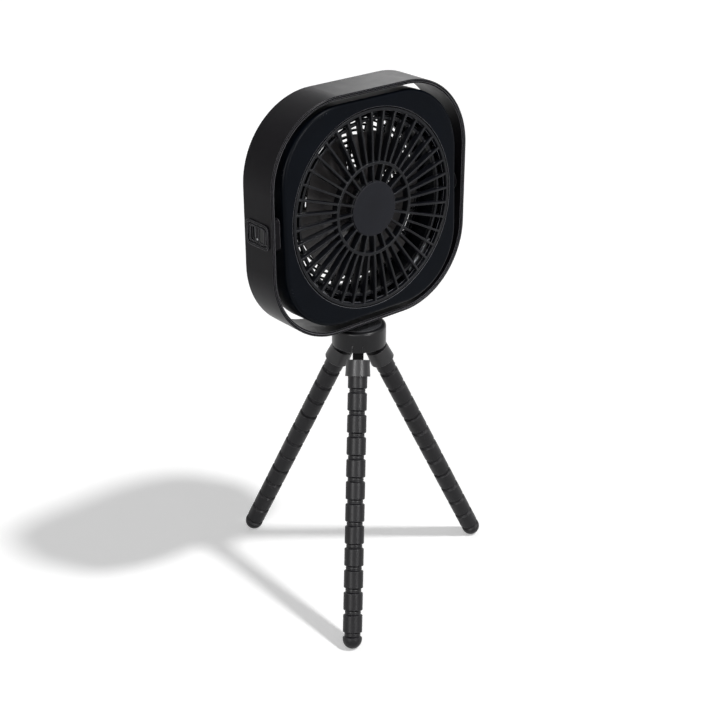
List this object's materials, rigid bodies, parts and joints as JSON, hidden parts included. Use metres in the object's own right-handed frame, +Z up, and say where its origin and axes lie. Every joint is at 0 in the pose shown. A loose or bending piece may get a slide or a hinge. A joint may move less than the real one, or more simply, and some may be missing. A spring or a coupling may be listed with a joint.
{
  "type": "portable fan on a flexible tripod",
  "caption": "Square-round portable fan head that tilts in a hoop, on a small tripod with three grooved flexible legs.",
  "frame": {"origin": "on the floor, under the middle of the whole object's box", "axes": "+Z up; the fan looks towards -Y; +X to the right seen from behind the camera"},
  "size_m": [0.1808, 0.1736, 0.3588],
  "materials": {
    "hoop_plastic": "satin",
    "head_plastic": "satin",
    "cap_plastic": "matte",
    "button_plastic": "satin",
    "brass": "machined",
    "lens": "frosted",
    "bright_steel": "bright",
    "dark_steel": "blackened",
    "washer_plastic": "plain",
    "board": "lacquered",
    "cell": "laminate pouch",
    "copper": "wound copper",
    "fan_plastic": "satin",
    "hub_plastic": "semi-gloss",
    "pad_rubber": "matte, ribbed",
    "tab_plastic": "semi-gloss",
    "collar_plastic": "semi-gloss",
    "sleeve_rubber": "matte, grooved",
    "leg_wire": "drawn wire"
  },
  "bodies": {
    "tripod_head": {"hub_body": "hub_plastic", "hub_pad": "pad_rubber", "tripod_screw": "bright_steel", "hub_plate": "hub_plastic", "hub_screws": "dark_steel", "leg_pins": "bright_steel"},
    "hoop": {"hoop": "hoop_plastic", "tripod_insert": "brass", "side_panel": "hoop_plastic", "indicator_lens": "lens", "charging_port": "bright_steel", "switch_board": "board", "pod_cover": "hoop_plastic", "left_pivot_tube": "dark_steel", "right_pivot_pin": "dark_steel", "tilt_washers": "washer_plastic"},
    "power_button": {"power_button": "button_plastic"},
    "head": {"front_bezel": "head_plastic", "front_grille": "head_plastic", "centre_cap": "cap_plastic", "rear_shell": "head_plastic", "rear_grille": "head_plastic", "shell_screws": "dark_steel", "battery_cells": "cell", "circuit_board": "board", "motor_base": "bright_steel", "motor_stator": "copper", "motor_bearings": "bright_steel", "motor_screws": "dark_steel"},
    "rotor": {"rotor": "fan_plastic", "motor_shaft": "bright_steel", "motor_bell": "bright_steel"},
    "front_leg": {"front_bracket": "tab_plastic", "front_collar": "collar_plastic", "front_upper_sleeve": "sleeve_rubber", "front_upper_wire": "leg_wire"},
    "front_leg_middle": {"front_middle_sleeve": "sleeve_rubber", "front_middle_wire": "leg_wire"},
    "front_leg_lower": {"front_lower_sleeve": "sleeve_rubber", "front_lower_wire": "leg_wire", "front_foot": "sleeve_rubber"},
    "right_leg": {"right_bracket": "tab_plastic", "right_collar": "collar_plastic", "right_upper_sleeve": "sleeve_rubber", "right_upper_wire": "leg_wire"},
    "right_leg_middle": {"right_middle_sleeve": "sleeve_rubber", "right_middle_wire": "leg_wire"},
    "right_leg_lower": {"right_lower_sleeve": "sleeve_rubber", "right_lower_wire": "leg_wire", "right_foot": "sleeve_rubber"},
    "left_leg": {"left_bracket": "tab_plastic", "left_collar": "collar_plastic", "left_upper_sleeve": "sleeve_rubber", "left_upper_wire": "leg_wire"},
    "left_leg_middle": {"left_middle_sleeve": "sleeve_rubber", "left_middle_wire": "leg_wire"},
    "left_leg_lower": {"left_lower_sleeve": "sleeve_rubber", "left_lower_wire": "leg_wire", "left_foot": "sleeve_rubber"}
  },
  "joints": [
    {"name": "hoop_swivel", "type": "hinge", "parent": "tripod_head", "child": "hoop", "pos_m": [-0.00881, -0.01062, 0.1964], "axis": [0, 0, 1], "range_deg": [-180, 180]},
    {"name": "head_tilt", "type": "hinge", "parent": "hoop", "child": "head", "pos_m": [-0.00881, -0.01062, 0.27985], "axis": [-1, 0, 0], "range_deg": [-92.1, 87.9]},
    {"name": "fan_spin", "type": "hinge", "parent": "head", "child": "rotor", "pos_m": [-0.00881, -0.01062, 0.27985], "axis": [0, -0.9993, 0.0366], "continuous": true},
    {"name": "button_press", "type": "slide", "parent": "hoop", "child": "power_button", "axis": [1, 0, 0], "range_m": [0, 0.0007], "stiffness_N_per_m": 800, "springref_m": -0.001},
    {"name": "front_leg_hinge", "type": "hinge", "parent": "tripod_head", "child": "front_leg", "pos_m": [-0.01446, -0.0167, 0.184], "axis": [-0.7325, 0.6807, 0], "range_deg": [-20.5, 29]},
    {"name": "front_leg_bend", "type": "hinge", "parent": "front_leg", "child": "front_leg_middle", "pos_m": [-0.0372, -0.04117, 0.11549], "axis": [0.7325, -0.6807, 0], "range_deg": [-18, 18]},
    {"name": "front_leg_tip_bend", "type": "hinge", "parent": "front_leg_middle", "child": "front_leg_lower", "pos_m": [-0.05491, -0.06024, 0.06214], "axis": [0.7325, -0.6807, 0], "range_deg": [-18, 18]},
    {"name": "right_leg_hinge", "type": "hinge", "parent": "tripod_head", "child": "right_leg", "pos_m": [-0.00072, -0.01247, 0.184], "axis": [-0.2233, -0.9748, 0], "range_deg": [-20.5, 29]},
    {"name": "right_leg_bend", "type": "hinge", "parent": "right_leg", "child": "right_leg_middle", "pos_m": [0.03185, -0.01993, 0.11549], "axis": [0.2233, 0.9748, 0], "range_deg": [-18, 18]},
    {"name": "right_leg_tip_bend", "type": "hinge", "parent": "right_leg_middle", "child": "right_leg_lower", "pos_m": [0.05722, -0.02574, 0.06214], "axis": [0.2233, 0.9748, 0], "range_deg": [-18, 18]},
    {"name": "left_leg_hinge", "type": "hinge", "parent": "tripod_head", "child": "left_leg", "pos_m": [-0.01125, -0.00268, 0.184], "axis": [0.9558, 0.294, 0], "range_deg": [-20.5, 29]},
    {"name": "left_leg_bend", "type": "hinge", "parent": "left_leg", "child": "left_leg_middle", "pos_m": [-0.02107, 0.02925, 0.11549], "axis": [-0.9558, -0.294, 0], "range_deg": [-18, 18]},
    {"name": "left_leg_tip_bend", "type": "hinge", "parent": "left_leg_middle", "child": "left_leg_lower", "pos_m": [-0.02872, 0.05412, 0.06214], "axis": [-0.9558, -0.294, 0], "range_deg": [-18, 18]}
  ],
  "couplings": [
    {"joint": "front_leg_tip_bend", "follows": "front_leg_bend", "ratio": 1},
    {"joint": "right_leg_tip_bend", "follows": "right_leg_bend", "ratio": 1},
    {"joint": "left_leg_tip_bend", "follows": "left_leg_bend", "ratio": 1}
  ]
}
